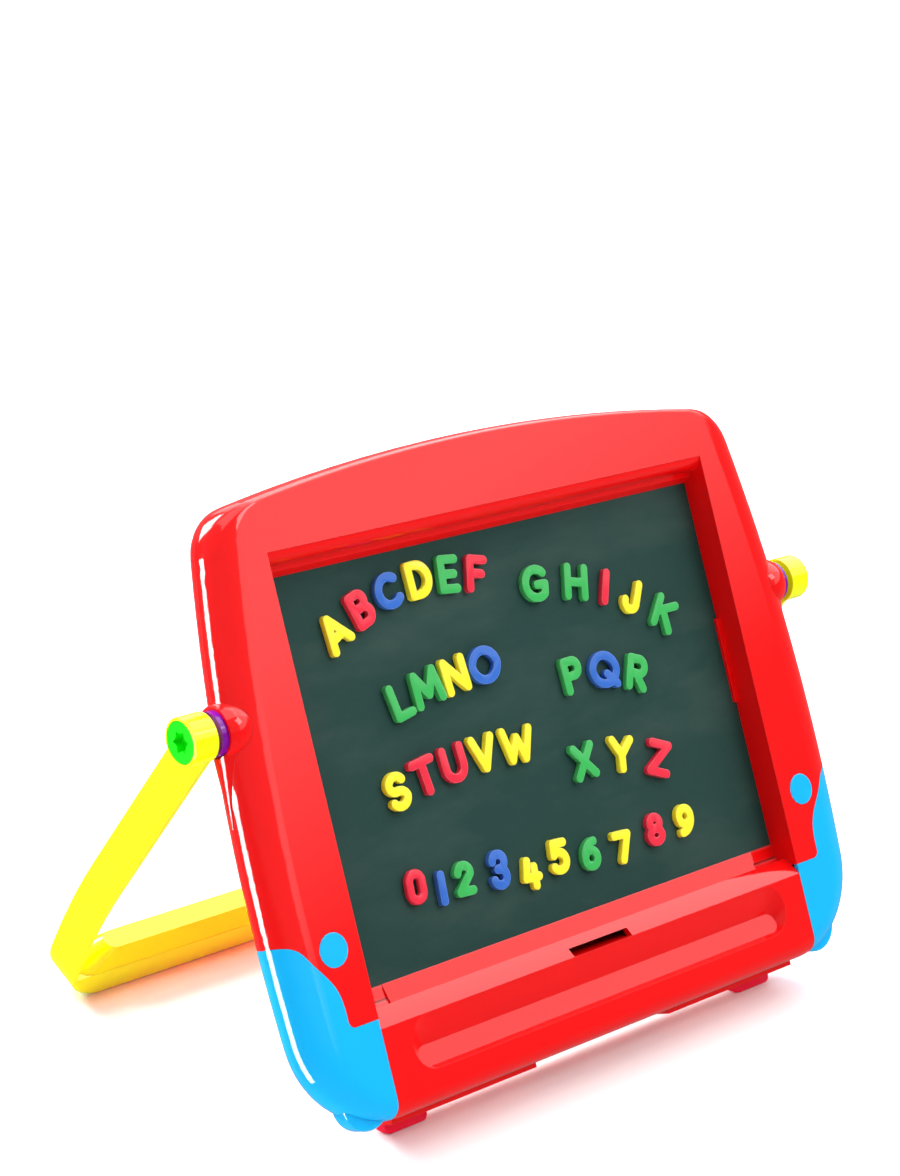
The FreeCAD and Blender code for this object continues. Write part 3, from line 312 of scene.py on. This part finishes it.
# ------------------------------------------------------------------ letters and digits
INTO_BOARD = Vector((0.0, math.cos(LEAN), -math.sin(LEAN)))
SLUG_RADIUS = 2.2 * MM
SLUG_THICKNESS = 2.0 * MM
LEVEL = 0.02 * MM            # points whose depths differ by less lie in one face
MERGE = 0.01 * MM            # points nearer than this are one
FLAT = math.radians(1.0)     # edges that fold less are smoothed away
SHARP = math.radians(40.0)   # edges that fold more are rounded over
ROUND_OVER = 0.9 * MM
ROUND_OVER_STEPS = 3
FIRST_SLOT, MAGNET_SLOT = 0, 1


def moulded_magnet(name, node):
    """A letter as one rounded moulding, from its CAD copy, with its ferrite slug's face behind.

    Faces between the slug and its socket are hidden, so they are dropped before the edges are
    rounded.  Depth is measured into the board, and the slug's front marks the slug's axis.
    """
    mesh = node.data.copy()
    mesh.name = name
    shape = bmesh.new()
    shape.from_mesh(mesh)
    depth = {v: v.co.dot(INTO_BOARD) for v in shape.verts}
    rear = max(depth.values())
    floor = rear - SLUG_THICKNESS
    disc = [f for f in shape.faces if all(abs(depth[v] - floor) < LEVEL for v in f.verts)]
    rim = [v.co for f in disc for v in f.verts]
    axis = sum(rim, Vector()) / len(rim)

    def in_socket(v):
        """Whether a point is as near the axis as the slug's side, and as deep as its front."""
        apart = v.co - axis
        out = (apart - INTO_BOARD * apart.dot(INTO_BOARD)).length
        return out < SLUG_RADIUS * 1.02 and depth[v] > floor - LEVEL

    inner = [f for f in shape.faces if all(in_socket(v) for v in f.verts)]
    hidden = [f for f in inner if not all(depth[v] > rear - LEVEL for v in f.verts)]
    for face in inner:
        face.material_index = MAGNET_SLOT
    bmesh.ops.delete(shape, geom=hidden, context="FACES")
    bmesh.ops.remove_doubles(shape, verts=shape.verts[:], dist=MERGE)
    bmesh.ops.dissolve_limit(shape, angle_limit=FLAT, verts=shape.verts[:],
                             edges=shape.edges[:], delimit={"MATERIAL"})
    bmesh.ops.recalc_face_normals(shape, faces=shape.faces[:])
    for face in shape.faces:
        face.smooth = True
    shape.to_mesh(mesh)
    shape.free()
    mesh.materials.append(magnet_finish)
    made = bpy.data.objects.new(name, mesh)
    scene.collection.objects.link(made)
    round_over = made.modifiers.new("round over", "BEVEL")
    round_over.width = ROUND_OVER
    round_over.segments = ROUND_OVER_STEPS
    round_over.limit_method = "ANGLE"
    round_over.angle_limit = SHARP
    round_over.harden_normals = True
    return made


for node_name, node in sorted(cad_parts.items()):
    if node_name.startswith(("letter_", "digit_")):
        moulded = moulded_magnet("moulded_" + node_name, node)
        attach(moulded, node_name)
        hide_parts(node_name)


# ------------------------------------------------------------------ camera, floor and light
EASEL_MIDDLE = Vector((0.0, 0.0, 0.15))


def make_camera():
    """The camera stands to the left of the easel, above it, with a roll to its right."""
    stand = Vector((-1.1851, -1.1366, 0.9695))
    heading, down, roll = math.radians(44.60), math.radians(23.03), math.radians(7.19)
    lens_in_mm = 88.1
    turn = (Matrix.Rotation(-heading, 4, "Z") @ Matrix.Rotation(math.pi / 2 - down, 4, "X")
            @ Matrix.Rotation(roll, 4, "Z"))
    data = bpy.data.cameras.new("camera")
    data.lens = lens_in_mm
    camera = bpy.data.objects.new("camera", data)
    camera.matrix_world = Matrix.Translation(stand) @ turn
    scene.collection.objects.link(camera)
    scene.camera = camera


def make_floor():
    """A square floor under the object, centred on it, which glossy faces don't mirror."""
    half = 6.0
    corners = [(-half, -half, 0), (half, -half, 0), (half, half, 0), (-half, half, 0)]
    mesh = bpy.data.meshes.new("floor")
    mesh.from_pydata(corners, [], [(0, 1, 2, 3)])
    mesh.materials.append(pale_floor("pale floor"))
    floor = bpy.data.objects.new("floor", mesh)
    floor.visible_glossy = False
    scene.collection.objects.link(floor)


def softbox(name, place, width, height, power, up=(0.0, 0.0, 1.0), only_gloss=False):
    """A rectangular lamp that faces the easel's middle, its height along up.

    A lamp that is only gloss shows in reflections and adds no diffuse light.
    """
    data = bpy.data.lights.new(name, "AREA")
    data.shape = "RECTANGLE"
    data.size, data.size_y, data.energy = width, height, power
    lamp = bpy.data.objects.new(name, data)
    away = (Vector(place) - EASEL_MIDDLE).normalized()
    across = Vector(up).cross(away).normalized()
    turn = Matrix((across, away.cross(across), away)).transposed()
    lamp.matrix_world = Matrix.Translation(place) @ turn.to_4x4()
    lamp.visible_diffuse = not only_gloss
    scene.collection.objects.link(lamp)


def studio_sky():
    """Dim near the horizon and brighter above, most of all towards the easel's right.

    The brightness is low + rise * height + glow * height * side, where height climbs from 0 to 1
    over a narrow band of elevation and side from 0 to 1 round the compass towards the glow.
    """
    low, rise, glow = 0.30, 0.32, 2.1
    nearly_up = (0.0, -0.0965, 0.9953)
    nearly_right = (0.998, -0.07, 0.0)
    world = bpy.data.worlds.new("studio")
    world.use_nodes = True
    sky = Nodes(world.node_tree)
    way = sky.node("ShaderNodeTexCoord", output="Generated")
    height = sky.band(sky.dot(way, nearly_up), 0.36, 0.46)
    side = sky.band(sky.dot(way, nearly_right), 0.37, 0.43)
    strength = low + height * rise + height * side * glow
    light = sky.node("ShaderNodeBackground", {}, {"Strength": strength})
    sky.node("ShaderNodeOutputWorld", {}, {"Surface": light})
    scene.world = world


def make_light():
    """The sky, four soft lamps, and two that only show as highlights, each with its watts."""
    studio_sky()
    scene.view_settings.view_transform = "Standard"
    along_board = (0.0, math.sin(LEAN), math.cos(LEAN))
    softbox("key", (0.9, -1.5, 2.3), 1.0, 1.0, 20.0)
    softbox("top", (0.0, 0.2, 3.0), 2.5, 2.5, 42.0)
    softbox("backdrop", (1.8, 2.8, 2.2), 3.0, 3.0, 60.0)
    softbox("handle side", (-0.7, 1.5, 1.3), 1.0, 1.0, 70.0)
    softbox("overhead gloss", (1.4, 0.6, 1.9), 2.4, 2.4, 24.0, only_gloss=True)
    softbox("side strip", (-2.6, -0.07, -0.36), 1.0, 3.6, 390.0, along_board, only_gloss=True)


make_camera()
make_floor()
make_light()
